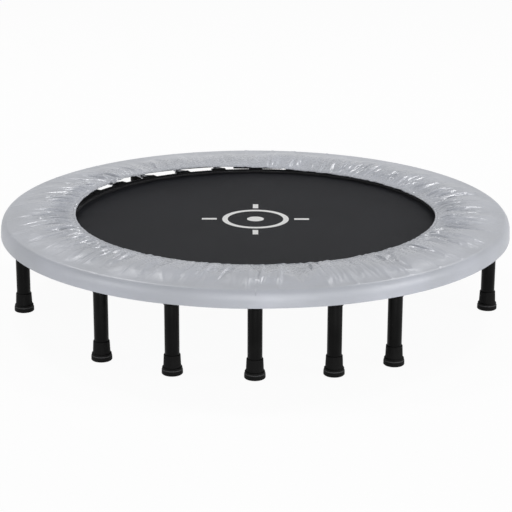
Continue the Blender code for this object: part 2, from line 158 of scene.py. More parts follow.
class Nodes:
    """A node tree and the one way to add to it."""

    def __init__(self, tree):
        self.tree = tree

    def feed(self, socket, value):
        """Links a Value to a socket, or sets a plain number or colour on it."""
        if isinstance(value, Value):
            self.tree.links.new(value.socket, socket)
        elif isinstance(value, tuple) and socket.type == "RGBA":
            socket.default_value = (*value, 1.0)
        else:
            socket.default_value = value

    def node(self, kind, settings=None, inputs=None, output=0):
        """Adds a ShaderNode, sets its settings, feeds its inputs, and wraps its output, or several."""
        node = self.tree.nodes.new("ShaderNode" + kind)
        for label, value in (settings or {}).items():
            setattr(node, label, value)
        for key, value in (inputs or {}).items():
            self.feed(node.inputs[key], value)
        if isinstance(output, tuple):
            return [Value(self, node.outputs[key]) for key in output]
        return Value(self, node.outputs[output])

    def seen(self):
        """1 on rays that the camera, a mirror or glass sees, and 0 on those that light the object."""
        rays = ("Is Camera Ray", "Is Glossy Ray", "Is Transmission Ray")
        camera_ray, glossy, clear = self.node("LightPath", output=rays)
        return (camera_ray + glossy + clear).at_most(1.0)

    def show(self, end, factor, first, second):
        """Sends a blend of two shaders, by a factor, to the tree's output node."""
        blend = self.node("MixShader", None, {0: factor, 1: first, 2: second})
        self.feed(self.tree.nodes[end].inputs["Surface"], blend)


class Shader(Nodes):
    """A material with one Principled BSDF, whose even values are set on its own sockets."""

    def __init__(self, name, **even):
        self.material = bpy.data.materials.new(name)
        self.material.use_nodes = True
        super().__init__(self.material.node_tree)
        self.surface = self.tree.nodes["Principled BSDF"]
        self.set(**even)

    def set(self, **values):
        for label, value in values.items():
            self.feed(self.surface.inputs[label.replace("_", " ")], value)

    def object_place(self):
        return self.node("TexCoord", output="Object")

    def cloth_place(self):
        return self.node("UVMap", {"uv_map": "cloth"})

    def axes(self, place):
        """The X, Y and Z of a place as three numbers."""
        return self.node("SeparateXYZ", None, {0: place}, (0, 1, 2))

    def noise(self, place, scale, detail=3.0, roughness=0.5):
        inputs = {"Vector": place, "Scale": scale, "Detail": detail, "Roughness": roughness}
        return self.node("TexNoise", None, inputs)

    def mix(self, factor, first, second):
        """Blends two colours by a factor. A Mix node's colours are its sockets 6 and 7, and its result 2."""
        return self.node("Mix", {"data_type": "RGBA"}, {0: factor, 6: first, 7: second}, 2)

    def bump(self, height, distance, strength=1.0):
        inputs = {"Height": height, "Distance": distance, "Strength": strength}
        self.set(Normal=self.node("Bump", None, inputs))


def linear(red, green, blue):
    """A colour read off a screen, 0 to 255, as the light values that Blender works in."""
    shares = [channel / 255 for channel in (red, green, blue)]
    return tuple(s / 12.92 if s <= 0.04045 else ((s + 0.055) / 1.055) ** 2.4 for s in shares)


# %% [markdown]
# ## The cover's coated fabric
# The cover is light grey nylon with a thin coating. It has a satin shine that picks out each gather, a weave
# finer than a millimetre, and small crinkles that the sewing leaves. Its colour is even, so the folds do
# the work. The patterns read the cloth's own UV map in metres, so they stay on the fabric when it folds.

# %% Cover fabric
COATED_WEAVE = 0.0008
# The coating is glossier near the elastic: (start, end) of the change outwards, and the roughness at each.
COATING_WEAR = (0.05, 0.13, 0.28, 0.40)


def cover_fabric():
    """Soft patches set the tone, crinkles and the way out set the gloss, and crinkles and weave the bump."""
    shader = Shader("cover_fabric", IOR=1.5, Specular_IOR_Level=0.6)
    place = shader.cloth_place()
    along, outwards, _ = shader.axes(place)
    crinkle = shader.noise(place, 140.0, detail=4.0, roughness=0.6)
    patch = shader.noise(place, 9.0, detail=2.0)
    weave = (along.wave(COATED_WEAVE) + outwards.wave(COATED_WEAVE)) * 0.25
    tone = shader.mix(patch.ramp(0.35, 0.65), linear(166, 169, 176), linear(173, 176, 184))
    polish = crinkle.ramp(0.3, 0.7, -0.04, 0.04) + outwards.ramp(*COATING_WEAR)
    shader.set(Base_Color=tone, Roughness=polish)
    shader.bump(crinkle * 0.8 + weave * 0.12, distance=0.0007, strength=0.25)
    return shader.material


COVER = cover_fabric()
print("made", COVER.name)

# %% [markdown]
# ## The mat
# The mat is woven from flat black plastic yarn, a plain weave with a faint shine. Its print is a plain white
# aiming target, a ring, a dot and four short bars, which shows the jumper where to land. The yarns and the
# print are painted darker where the yarns dip, as shade between them.

# %% Mat fabric
YARN = 0.0016
TARGET_RING = (0.056, 0.067)
TARGET_DOT = 0.017
# Where a bar starts and ends, and half its width.
TARGET_BAR = (0.078, 0.108, 0.0055)


def mat_fabric():
    """Where the product of the two waves is above 0 the warp lies on top, elsewhere the weft."""
    shader = Shader("mat_fabric", IOR=1.46, Specular_IOR_Level=0.06)
    place = shader.cloth_place()
    across, along, _ = shader.axes(place)
    warp, weft = across.wave(2 * YARN), along.wave(2 * YARN)
    checker = warp * weft
    height = abs(warp) * checker.ramp(-0.2, 0.2) + abs(weft) * checker.ramp(-0.2, 0.2, 1.0, 0.0)
    patch = shader.noise(place, 6.0, detail=3.0)
    # The yarn is painted darker where it dips and lighter on top, as shade on the weave.
    cloth = shader.mix(height, linear(8, 8, 10), linear(26, 27, 31))
    cloth = shader.mix(patch.ramp(0.3, 0.7, 0.0, 0.35), cloth, linear(32, 33, 37))

    radius = (across * across + along * along) ** 0.5
    start, end, half = TARGET_BAR
    mark = radius.between(*TARGET_RING) + radius.below(TARGET_DOT)
    for length, width in ((abs(across), abs(along)), (abs(along), abs(across))):
        mark = mark + length.between(start, end) * width.below(half)
    # The print is painted darker where the yarns dip, as shade between them.
    print_dip_shade = height.ramp(0.02, 0.12, 0.75, 1.0)
    tone = shader.mix(mark * print_dip_shade, cloth, linear(240, 240, 239))
    shader.set(Base_Color=tone, Roughness=height.ramp(0, 1, 0.75, 0.52))
    shader.bump(height, distance=0.0004, strength=0.7)
    return shader.material


MAT = mat_fabric()
print("made", MAT.name)

# %% [markdown]
# ## Webbing, thread, metal and rubber
# Webbing is a narrow woven strap with ribs across it. The powder coat on the tubes has a faint orange peel.
# Springs, rings and bolts are zinc plated. The feet are moulded rubber with a dull, slightly dusty face, and a
# lighter band is painted along the edge of their moulded ledge as a highlight.

# %% Small finishes
WEBBING_RIB = 0.0022
WEBBING_THREAD = 0.0012
LEDGE = 0.0096


def webbing_fabric():
    """Wide ribs across the strap and finer threads along it set the bump, and set the tone as painted shade
    between them.
    """
    shader = Shader("webbing", Roughness=0.8, Specular_IOR_Level=0.3)
    across, along, _ = shader.axes(shader.cloth_place())
    ribs = across.wave(WEBBING_RIB) * 0.5 + along.wave(WEBBING_THREAD) * 0.35
    # The tone is painted shade: darker in the troughs between the ribs and threads, lighter on top.
    shader.set(Base_Color=shader.mix(ribs.ramp(-0.8, 0.8), linear(8, 8, 9), linear(24, 24, 26)))
    shader.bump(ribs, distance=0.0004, strength=0.8)
    return shader.material


def speckled(name, dark, light, speck, tone_at, gloss, grain=None, bump=(0.0002, 0.5), painted_highlight=None, **even):
    """Specks of noise run from a dark to a light tone and change the roughness. A finer grain, or the specks
    themselves, make the bump. A painted highlight, if given, takes the shader, the specks and the tone, and
    gives a new tone with the highlight painted on."""
    shader = Shader(name, **even)
    place = shader.object_place()
    specks = shader.noise(place, speck, detail=4.0)
    tone = shader.mix(specks.ramp(*tone_at), linear(*dark), linear(*light))
    # A painted highlight goes over the tone here.
    if painted_highlight:
        tone = painted_highlight(shader, specks, tone)
    shader.set(Base_Color=tone, Roughness=specks.ramp(0.3, 0.7, *gloss))
    shader.bump(shader.noise(place, grain, detail=2.0) if grain else specks, *bump)
    return shader.material


def painted_ledge_highlight(shader, dust, tone):
    """A painted highlight: a light band where the height is within about a millimetre of the ledge, broken up
    by the dust.
    """
    height = shader.axes(shader.object_place())[2]
    painted_highlight = abs(height - LEDGE).ramp(0.0003, 0.0012, 1.0, 0.0)
    return shader.mix(painted_highlight * dust.ramp(0.2, 0.5, 0.6, 1.0), tone, linear(66, 66, 67))


def sewing_thread(name, dark, light):
    """Noise finer than a millimetre stands for the twist of the strands."""
    shader = Shader(name, Roughness=0.6, Sheen_Weight=0.2)
    twist = shader.noise(shader.object_place(), 1500.0, detail=1.0)
    shader.set(Base_Color=shader.mix(twist.ramp(0.3, 0.7), linear(*dark), linear(*light)))
    return shader.material


WEBBING = webbing_fabric()
POWDER = speckled("powder_coat", (5, 5, 5), (10, 10, 10), 22.0, (0.4, 0.75), (0.30, 0.42), 650.0,
                  IOR=1.5, Specular_IOR_Level=0.08)
ZINC = speckled("zinc_bolt", (174, 176, 180), (196, 198, 202), 260.0, (0.3, 0.7), (0.28, 0.46),
                bump=(0.0001, 0.4), Metallic=1.0)
WIRE = speckled("spring_wire", (156, 158, 162), (178, 180, 184), 420.0, (0.3, 0.7), (0.28, 0.46),
                bump=(0.0001, 0.4), Metallic=1.0)
# The feet's moulded ledge gets a painted highlight, a light band.
RUBBER = speckled("moulded_rubber", (7, 7, 7), (20, 20, 20), 30.0, (0.45, 0.8), (0.5, 0.68), 900.0,
                  painted_highlight=painted_ledge_highlight, IOR=1.5, Specular_IOR_Level=0.08)
DARK_THREAD = sewing_thread("dark_thread", (56, 56, 59.2), (70, 70, 74))
PALE_THREAD = sewing_thread("pale_thread", (164.8, 167.2, 171.2), (206, 209, 214))
print("finishes:", len(bpy.data.materials))

# %% [markdown]
# ## Surfaces from rings of points
# Nearly every piece here is a profile carried along a path: a tube, a foot, a length of cover. So one
# function takes an array of rings and skins it with quads, closed by flat ends or wrapped both ways round.


# %% Skinning
def circle(count):
    """Angles in even steps round a full turn."""
    return np.arange(count) * 2 * math.pi / count


def together(*columns):
    """Numbers and arrays brought to one shape and set side by side as a new last axis."""
    return np.stack(np.broadcast_arrays(*columns), axis=-1)


def polar(radius, azimuth, height):
    """Points at a radius and an azimuth from -Y towards +X, as an array with X, Y and Z last."""
    radius, azimuth, height = np.broadcast_arrays(radius, azimuth, height)
    return np.stack([radius * np.sin(azimuth), -radius * np.cos(azimuth), height], axis=-1)


def unit(vectors):
    """Vectors divided by their lengths."""
    return vectors / np.linalg.norm(vectors, axis=-1, keepdims=True)


def smooth(value, low, high):
    """0 below low, 1 above high, and 3t^2 - 2t^3 between."""
    t = np.clip((value - low) / (high - low), 0, 1)
    return t * t * (3 - 2 * t)


def corner_curve(first, corner, last, steps):
    """Points from first to last, drawn towards a corner: (1-t)^2 first + 2t(1-t) corner + t^2 last."""
    t = np.linspace(0, 1, steps)[:, None]
    return (1 - t) ** 2 * first + 2 * t * (1 - t) * corner + t * t * last


def ring_faces(count, size, wrap):
    """Quads between neighbouring rings: point j of ring i joins j + 1 and the same two of ring i + 1."""
    rows = np.arange(count if wrap else count - 1)[:, None]
    columns = np.arange(size)[None, :]
    after_row, after_column = (rows + 1) % count, (columns + 1) % size
    corners = (rows * size + columns, rows * size + after_column,
               after_row * size + after_column, after_row * size + columns)
    return np.stack([c.ravel() for c in corners], axis=1)


def make_piece(name, points, faces, material, flat_uv=None, sharp=40.0):
    """A mesh object from points and faces, facing outwards, with a UV in metres for each point if one is
    given. Edges that turn by more than the sharp angle, in degrees, are shaded sharp."""
    mesh = bpy.data.meshes.new(name)
    mesh.from_pydata(np.asarray(points, float).tolist(), [], faces)
    if flat_uv is not None:
        corner_points = np.empty(len(mesh.loops), int)
        mesh.loops.foreach_get("vertex_index", corner_points)
        layer = mesh.uv_layers.new(name="cloth")
        layer.data.foreach_set("uv", np.asarray(flat_uv, float)[corner_points].ravel())
    work = bmesh.new()
    work.from_mesh(mesh)
    bmesh.ops.recalc_face_normals(work, faces=work.faces)
    work.to_mesh(mesh)
    work.free()
    mesh.shade_smooth()
    mesh.set_sharp_from_angle(angle=math.radians(sharp))
    mesh.materials.append(material)
    return add_object(name, mesh)


def skin(name, rings, material, wrap=False, uv=None, sharp=40.0):
    """Skins an array of (rings, points, 3) into a closed surface. Open paths get a flat face at each end."""
    count, size = rings.shape[:2]
    faces = ring_faces(count, size, wrap).tolist()
    if not wrap:
        faces += [list(range(size)), list(range((count - 1) * size, count * size))]
    flat_uv = None if uv is None else uv.reshape(-1, 2)
    return make_piece(name, rings.reshape(-1, 3), faces, material, flat_uv, sharp)


def stand_for(piece, slot, *nodes):
    """Hides the solids that a piece stands for. The piece and its slot are not used."""
    if nodes:
        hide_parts(*nodes)


def belong(piece, body, slot, *nodes):
    """Hangs a piece under the empty of the body that carries it, and hides the solids that it stands for. The
    slot is not used.
    """
    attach(piece, body)
    stand_for(piece, slot, *nodes)


# %% [markdown]
# ## The frame ring
# Each half of the ring is one steel tube bent round, open at its ends, where a flat tongue is welded in. The
# tube has an inner wall too, so that the open ends show a real bore.

# %% Frame tubes
TUBE_WALL = 0.0014
TUBE_END_X = 0.061
TUBE_SIDES = 32
TUBE_STEPS = 150
TONGUE_HEIGHT = 0.022
TONGUE_THICKNESS = 0.012
TONGUE_IN_TUBE = 0.018
TONGUE_HOLE = 0.0044
TONGUE_BEVEL = 0.0006


def tube_half(name, sign):
    """At each angle round the tube, one loop runs out along the outer wall and back along the inner one."""
    start = math.asin(TUBE_END_X / FRAME_R)
    azimuths = sign * np.linspace(start, math.pi - start, TUBE_STEPS)
    turn = circle(TUBE_SIDES)[:, None]
    outer, inner = [polar(FRAME_R + radius * np.cos(turn), azimuths, DECK + radius * np.sin(turn))
                    for radius in (TUBE_R, TUBE_R - TUBE_WALL)]
    return skin(name, np.concatenate([outer, inner[:, ::-1]], axis=1), POWDER, wrap=True, sharp=50.0)


def plate_with_hole(reach, half, hole, thickness, steps=72):
    """A bar seen from the side, star-shaped about its bolt hole, as loops of hole, rim, rim and hole across
    its thickness. Ahead of the hole the rim is the nearer of the bar's straight edges, behind it a circle."""
    corner = math.atan2(half, reach)
    angles = np.linspace(-math.pi, math.pi, steps, endpoint=False)
    angles = np.sort(np.append(angles, [corner, -corner]))
    cos, sin = np.cos(angles), np.sin(angles)
    straight = np.minimum(half / np.maximum(np.abs(sin), 1e-9), reach / np.maximum(cos, 1e-9))
    rim = np.where(cos > 0, straight, half)
    face, inside = thickness / 2, rim - TONGUE_BEVEL
    section = ((hole, -face), (inside, -face), (rim, TONGUE_BEVEL - face),
               (rim, face - TONGUE_BEVEL), (inside, face), (hole, face))
    return np.stack([together(radius * cos, depth, radius * sin) for radius, depth in section], axis=1)


bar = plate_with_hole(TUBE_END_X - FOLD_X + TONGUE_IN_TUBE, TONGUE_HEIGHT / 2, TONGUE_HOLE, TONGUE_THICKNESS)
for side, sign in WINGS.items():
    belong(tube_half(f"frame_tube_{side}", sign), f"{side}_wing", "frame_black", f"frame_{side}")
    for end, outward in ENDS.items():
        rings = bar * [sign, 1, 1] + [sign * FOLD_X, outward * HINGE_Y, DECK]
        tongue = skin(f"tongue_{side}_{end}", rings, POWDER, wrap=True)
        belong(tongue, f"{side}_wing", "frame_black", f"frame_{side}")
print("frame tubes and tongues made")

# %% [markdown]
# ## Hinge channels and bolts
# The channels keep their solids: a folded U is flat plate, and only needs its paint. The bolts get what a
# hex bolt has: a washer face, a chamfered hexagon with a dished top, and a tapered thread end. Each is one
# radius that depends on the angle round the axis and the place along it.

# %% Hinge hardware
HEX_ACROSS = 0.013
BOLT_R = 0.004
HEAD_HEIGHT = 0.0053
NUT_HEIGHT = 0.0065
NUT_SLACK = 0.0002
FIT_GAP = 0.0003
CHAMFER = 0.0009
WASHER_FACE = 0.0004
DISH = 0.0006
THREAD_TAPER = 0.0008
THREAD_PAST_NUT = 0.0015
ROUND, HEXAGON = False, True

for end in ENDS:
    channel = frame["nodes"][f"hinge_channel_{end}"]
    channel.data.materials.clear()
    channel.data.materials.append(POWDER)


def hex_rings(levels, steps=72):
    """Rings about the Y axis, one for each level of depth, radius and shape. A round one is a circle of that
    radius. A hexagon, whose radius is half its width / cos(angle from its flat), is cut off by the circle."""
    angles = circle(steps)
    hexagon = HEX_ACROSS / 2 / np.cos(angles % (math.pi / 3) - math.pi / 6)
    rings = []
    for depth, limit, shape in levels:
        radius = np.minimum(hexagon, limit) if shape == HEXAGON else limit
        rings.append(together(radius * np.cos(angles), depth, radius * np.sin(angles)))
    return np.array(rings)


corner_r, flat_r = HEX_ACROSS / math.sqrt(3), HEX_ACROSS / 2
washer_r, chamfer_r, dish_r = flat_r * 0.97, flat_r * 0.96, flat_r * 0.62
bore = BOLT_R + NUT_SLACK
seat = CHANNEL_HALF + FIT_GAP
head_top = seat + HEAD_HEIGHT
nut_end = -seat - NUT_HEIGHT
thread_tip = nut_end - THREAD_PAST_NUT
bolt_levels = [
    (thread_tip, BOLT_R - THREAD_TAPER, ROUND), (thread_tip + THREAD_TAPER, BOLT_R, ROUND),
    (seat, BOLT_R, ROUND), (seat, washer_r, ROUND), (seat + WASHER_FACE, washer_r, ROUND),
    (seat + WASHER_FACE, corner_r, HEXAGON), (head_top - CHAMFER, corner_r, HEXAGON),
    (head_top, chamfer_r, HEXAGON), (head_top - DISH, dish_r, ROUND)]
nut_levels = [
    (nut_end, bore + DISH, ROUND), (nut_end, chamfer_r, HEXAGON), (nut_end + CHAMFER, corner_r, HEXAGON),
    (-seat - CHAMFER, corner_r, HEXAGON), (-seat, chamfer_r, HEXAGON), (-seat, bore + DISH, ROUND),
    (-seat - DISH, bore, ROUND), (nut_end + DISH, bore, ROUND)]
for end, outward in ENDS.items():
    for side, sign in WINGS.items():
        for kind, levels in (("bolt", bolt_levels), ("nut", nut_levels)):
            rings = hex_rings(levels) * [1, outward, 1] + [sign * FOLD_X, outward * HINGE_Y, DECK]
            piece = skin(f"{kind}_{end}_{side}", rings, ZINC, wrap=kind == "nut", sharp=25.0)
            belong(piece, "middle", "bolt_zinc", f"hinge_{kind}_{end}_{side}")
print("hinge hardware made")

# %% [markdown]
# ## Legs and feet
# A leg is a turned piece three times over: the socket welded under the ring, the tube with its rolled ends,
# and the rubber foot with a sleeve, a moulded ledge and a rounded sole. Each profile is a list of radius and
# height, carried round a circle. The weld is a ring of small overlapping beads.

# %% Turned pieces
LEG_R = 0.0135
LEG_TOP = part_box("leg_hinge_front")[1][2]
LEG_WALL = 0.0015
LEG_SIDES = 48
PLUG_R = 0.0055
PLUG_DEPTH = 0.022
STUD_R = 0.0048
STUD_TIP_R = 0.003
STUD_TAPER = 0.0015
METAL_ROUNDING = 0.0012
WELD_R = 0.0012
WELD_BEADS = 20
WELD_SWELL = 0.28
SOLE = 0.006
SOLE_HOLE = 0.006
GRIP_GAP = 0.0004
RUBBER_ROUNDING = 0.0004
# The foot from the sole up to its shoulder: how far in from its widest radius, and how high.
FOOT_STEPS = ((0.0014, 0.0), (0.0, 0.0014), (0.0002, LEDGE - 0.0006), (0.0010, LEDGE + 0.0006),
              (0.0012, 0.0136), (0.0032, 0.0146))
# The sleeve's lip: how far in, and how far below the foot's top.
LIP_STEPS = ((0.0042, 0.0010), (0.0048, 0.0))


def turned_rings(profile, centre):
    """Each point of the profile becomes a circle: x = r cos a, y = r sin a, at its own height."""
    turn = circle(LEG_SIDES)
    r, z = np.array(profile, float).T[..., None]
    return together(r * np.cos(turn), r * np.sin(turn), z) + [*centre, 0.0]


def rounded(profile, radius, steps=4):
    """Rounds each inner corner of a profile with a short curve that starts and ends a radius away from it."""
    points = np.array(profile, float)
    result = [points[0]]
    for before, corner, after in zip(points, points[1:], points[2:]):
        reach = min(radius, np.linalg.norm(before - corner) / 2.2, np.linalg.norm(after - corner) / 2.2)
        first, last = corner + unit(before - corner) * reach, corner + unit(after - corner) * reach
        result.extend(corner_curve(first, corner, last, steps))
    result.append(points[-1])
    return result


def weld_bead(name, centre, radius, height):
    """A closed ring of weld whose thickness swells and pinches once for each bead."""
    turn = circle(WELD_BEADS * 6)[:, None]
    around = circle(8)
    swell = WELD_R * (1 + WELD_SWELL * np.abs(np.sin(turn * WELD_BEADS / 2)))
    r = radius + swell * np.cos(around)
    rings = together(r * np.cos(turn), r * np.sin(turn), height + swell * np.sin(around))
    return skin(name, rings + [*centre, 0.0], POWDER, wrap=True)


def width_of(node):
    """How wide a solid is along X, from the corners of its box."""
    low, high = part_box(node)
    return high[0] - low[0]


def build_leg(name, body):
    """Socket, weld, tube and foot of one leg, on the middle of its solids."""
    low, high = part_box(f"leg_{name}")
    centre = ((low[0] + high[0]) / 2, (low[1] + high[1]) / 2)
    stud_low, collar_high = (corner[2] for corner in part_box(f"leg_socket_{name}"))
    collar_r = width_of(f"leg_socket_{name}") / 2
    collar_low = LEG_TOP + FIT_GAP
    socket = [(STUD_TIP_R, stud_low), (STUD_R, stud_low + STUD_TAPER), (STUD_R, collar_low),
              (collar_r, collar_low), (collar_r, collar_high), (collar_r * 0.6, collar_high)]
    piece = skin(f"socket_{name}", turned_rings(rounded(socket, METAL_ROUNDING), centre), POWDER)
    belong(piece, body, "frame_black", f"leg_socket_{name}")
    bead = weld_bead(f"weld_{name}", centre, collar_r * 0.9, collar_high)
    belong(bead, body, "frame_black", f"leg_socket_{name}")

    foot_rim = SOLE + FIT_GAP
    inner_r, plug_low = LEG_R - LEG_WALL, LEG_TOP - PLUG_DEPTH
    tube = [(PLUG_R, LEG_TOP), (LEG_R, LEG_TOP), (LEG_R, foot_rim), (inner_r, foot_rim),
            (inner_r, plug_low), (PLUG_R, plug_low)]
    closed = rounded(tube + tube[:1], METAL_ROUNDING)[:-1]
    # Swapped, the rows run round the circle and each is the closed profile, so that both ways wrap.
    piece = skin(f"tube_{name}", np.swapaxes(turned_rings(closed, centre), 0, 1), POWDER, wrap=True)
    belong(piece, body, "frame_black", f"leg_{name}")

    flange = width_of(f"foot_{name}") / 2
    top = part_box(f"foot_{name}")[1][2]
    grip = LEG_R + GRIP_GAP
    outline = [(SOLE_HOLE, 0.0)] + [(flange - inset, height) for inset, height in FOOT_STEPS]
    outline += [(flange - inset, top - drop) for inset, drop in LIP_STEPS]
    outline += [(grip, top), (grip, SOLE), (SOLE_HOLE, SOLE)]
    piece = skin(f"rubber_{name}", turned_rings(rounded(outline, RUBBER_ROUNDING), centre), RUBBER)
    belong(piece, body, "rubber_black", f"foot_{name}")


for side in WINGS:
    for number in range(1, 6):
        build_leg(f"{side}_{number}", f"{side}_wing")
for end in ENDS:
    build_leg(f"hinge_{end}", "middle")
print("legs and feet made")

# %% [markdown]
# ## The mat and its fold lines
# The mat is one sheet that folds on two lines. It is made as two halves that meet at X = 0, each a grid of
# columns across X with rows along Y, so that the columns can crowd together where the sheet bends.

# %% Mat sheet
BAND_IN = 0.366
BAND_OUT = 0.3925
MAT_EDGE = 0.378
MAT_THICKNESS = 0.0011
MAT_ROWS = 130
COLUMN_STEP = 0.004
FOLD_STEP = 0.0006
FOLD_REACH = 0.012
FOLD_BEND = 0.006
PULL_RIPPLE = 0.0004
PULL_START = 0.30
SPRING_COUNT = 30
# The underside's UV is moved by a whole number of yarns, so that the target is printed on top only.
UNDERSIDE_SHIFT = 1000 * YARN


def crowded(limit):
    """Numbers from 0 to a limit, a fine step apart near the fold and a coarse one elsewhere."""
    start, end = FOLD_X - FOLD_REACH, FOLD_X + FOLD_REACH
    after = np.linspace(end, limit, int((limit - FOLD_X) / COLUMN_STEP))
    return np.concatenate([np.arange(0, start, COLUMN_STEP), np.arange(start, end, FOLD_STEP), after])


def fold(piece, side, bend, slot, *nodes):
    """Bakes a piece's place into its points and hides the solids that it stands for. The side, the bend and the
    slot are not used."""
    stand_for(piece, slot, *nodes)
    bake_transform(piece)


def mat_half(side):
    """The rows are spaced as a sine, closer near the edge. Faint ripples rise where the springs pull."""
    # The last column stops just inside the edge, where the half disc would have no length.
    columns = crowded(MAT_EDGE * 0.9999)[:, None]
    y = np.sqrt(MAT_EDGE**2 - columns**2) * np.sin(np.linspace(-math.pi / 2, math.pi / 2, MAT_ROWS))
    azimuth = np.arctan2(columns, -y)
    pull = PULL_RIPPLE * np.cos(SPRING_COUNT * azimuth) * smooth(np.hypot(columns, y), PULL_START, MAT_EDGE)
    top = DECK + MAT_THICKNESS / 2 + pull
    upper = together(WINGS[side] * columns, y, top)
    lower = together(WINGS[side] * columns, y, top - MAT_THICKNESS)
    rings = np.concatenate([upper, lower[:, ::-1]], axis=1)
    uv = rings[..., :2].copy()
    uv[:, MAT_ROWS:] += UNDERSIDE_SHIFT
    return skin(f"mat_{side}_half", rings, MAT, uv=uv)


for side in WINGS:
    mat = mat_half(side)
    fold(mat, side, FOLD_BEND, "mat_black", "mat_middle", f"mat_{side}")
print("mat made")

# %% [markdown]
# ## The rim band
# A strap of black webbing is folded over the mat's edge and sewn down with rows of stitches. The band is a
# thin closed section carried round the rim, and the stitches are short raised threads laid along three rows.

# %% Rim band and its stitches
BAND_HALF = 0.0018
BAND_STEPS = 360
STITCH_ROWS = (BAND_IN + 0.003, BAND_IN + 0.0075, BAND_OUT - 0.004)
STITCH_PITCH = 0.0055
STITCH_LENGTH = 0.0038
STITCH_R = 0.00045
THREAD_PLACES = 5
THREAD_SIDES = 6


def band_half(side):
    """The section is a flat oval between the band's two radii: sign(cos) |cos|^0.25 across and sign(sin)
    |sin|^0.5 up. Its height puckers a little along the sewing."""
    azimuths = WINGS[side] * np.linspace(0, math.pi, BAND_STEPS)[:, None]
    turn = circle(28)
    middle, half_width = (BAND_IN + BAND_OUT) / 2, (BAND_OUT - BAND_IN) / 2
    across = np.sign(np.cos(turn)) * np.abs(np.cos(turn)) ** 0.25
    up = np.sign(np.sin(turn)) * np.abs(np.sin(turn)) ** 0.5
    radius = middle + half_width * across
    rings = polar(radius, azimuths, DECK + BAND_HALF * up * (1 + 0.10 * np.sin(azimuths * 410)))
    return skin(f"rim_band_{side}", rings, WEBBING, uv=together(azimuths * middle, radius))


def sew(name, threads, material):
    """Skins an array of (threads, places along each, points round each, 3), closed at both ends."""
    size = THREAD_PLACES * THREAD_SIDES
    offsets = (np.arange(len(threads)) * size)[:, None, None]
    faces = (ring_faces(THREAD_PLACES, THREAD_SIDES, False) + offsets).reshape(-1, 4).tolist()
    caps = np.array([range(THREAD_SIDES), range(size - THREAD_SIDES, size)])
    faces += (caps + offsets).reshape(-1, THREAD_SIDES).tolist()
    return make_piece(name, threads.reshape(-1, 3), faces, material)


def stitch_row(name, radius, side):
    """Threads along a circle on the band. Each rises out of the cloth and dives back in: its height falls off
    as the square of the way from its middle, and its thickness as an ellipse."""
    count = int(math.pi * radius / STITCH_PITCH)
    middles = (np.arange(count) + 0.5)[:, None, None] * math.pi / count
    spots = np.linspace(-0.5, 0.5, THREAD_PLACES)[:, None]
    turn = circle(THREAD_SIDES)
    arch = STITCH_R * (1.2 - 6.0 * spots**2)
    fat = STITCH_R * np.sqrt(np.clip(1.08 - 4 * spots**2, 0.05, 1))
    azimuth = WINGS[side] * (middles + spots * STITCH_LENGTH / radius)
    height = DECK + BAND_HALF + arch + fat * np.sin(turn)
    return sew(name, polar(radius + fat * np.cos(turn), azimuth, height), DARK_THREAD)


for side in WINGS:
    band = band_half(side)
    fold(band, side, FOLD_BEND, "mat_black", f"spring_set_{side}", "spring_set_front", "spring_set_back")
    for row, radius in enumerate(STITCH_ROWS, 1):
        fold(stitch_row(f"rim_stitches_{side}_{row}", radius, side), side, FOLD_BEND, "mat_black")
print("rim band made")

# %% [markdown]
# ## Tabs, rings and springs
# Each spring pulls on a steel ring held by a loop of webbing. The loop is a strap carried round a long U,
# the ring is wire carried round a triangle with round corners, and the spring is wire carried along a helix
# whose radius closes down at each end into a hook.

# %% Spring parts
TAB_WIDTH = 0.030
TAB_SEWN = 0.010
STRAP = 0.0013
STRAP_CORNER = 0.0004
RING_WIRE = 0.0016
RING_HALF = 0.0165
RING_BAR_R = 0.4010
RING_APEX_R = 0.4180
COIL_R = 0.0062
COIL_WIRE = 0.00125
COIL_START = 0.4205
COIL_END = 0.4490
COIL_TURNS = 11
HOOK_RISE = 0.0030
NEAR_HOOK_DEPTH = 0.00224
FAR_HOOK_DEPTH = 0.0015
APEX_GAP = 0.0004
HOOK_GAP = 0.001


def carried_tube(path, radius, sides=8, wrap=False):
    """Rings of a round wire along a path of points. Each ring lies on two directions across the path: one
    level, or across a slanted helper where the path is nearly upright, and one at right angles to it."""
    ahead = np.roll(path, -1, axis=0) - np.roll(path, 1, axis=0) if wrap else np.gradient(path, axis=0)
    ahead = unit(ahead)[:, None]
    helper = np.where(np.abs(ahead[..., 2:]) > 0.98, (0.3, 0.9, 0.0), (0.0, 0.0, 1.0))
    sideways = unit(np.cross(ahead, helper))
    upwards = np.cross(sideways, ahead)
    turn = circle(sides)[:, None]
    return path[:, None] + radius * (np.cos(turn) * sideways + np.sin(turn) * upwards)


def spring_path(seat_r):
    """Along the radius: a hook's half turn, a coil of close turns, and another hook's half turn."""
    turns = np.linspace(0, COIL_TURNS * 2 * math.pi, COIL_TURNS * 14)
    share = turns / turns[-1]
    close = smooth(share, 0, 0.08) * (1 - smooth(share, 0.92, 1.0))
    size = COIL_R * (0.25 + 0.75 * close)
    length = COIL_END - COIL_START
    coil = together(size * np.cos(turns), COIL_START + length * share, size * np.sin(turns))
    hook = np.linspace(0, 1.35 * math.pi, 10)
    near_r = RING_APEX_R + APEX_GAP - NEAR_HOOK_DEPTH * np.sin(hook)
    near = together(0, near_r, HOOK_RISE * np.cos(hook))
    far = together(0, seat_r + FAR_HOOK_DEPTH * np.sin(hook), HOOK_RISE * np.cos(hook))
    return np.concatenate([near[::-1], coil, far])


def ring_path():
    """A triangle with round corners: a bar inside the webbing loop and two sides that meet at the hook."""
    corners = np.array([(-RING_HALF, RING_BAR_R, 0), (RING_HALF, RING_BAR_R, 0), (0, RING_APEX_R, 0)])
    curves = []
    for before, corner, after in zip(np.roll(corners, 1, axis=0), corners, np.roll(corners, -1, axis=0)):
        first, last = corner + (before - corner) * 0.16, corner + (after - corner) * 0.16
        curves.append(corner_curve(first, corner, last, 6))
    return np.concatenate(curves)


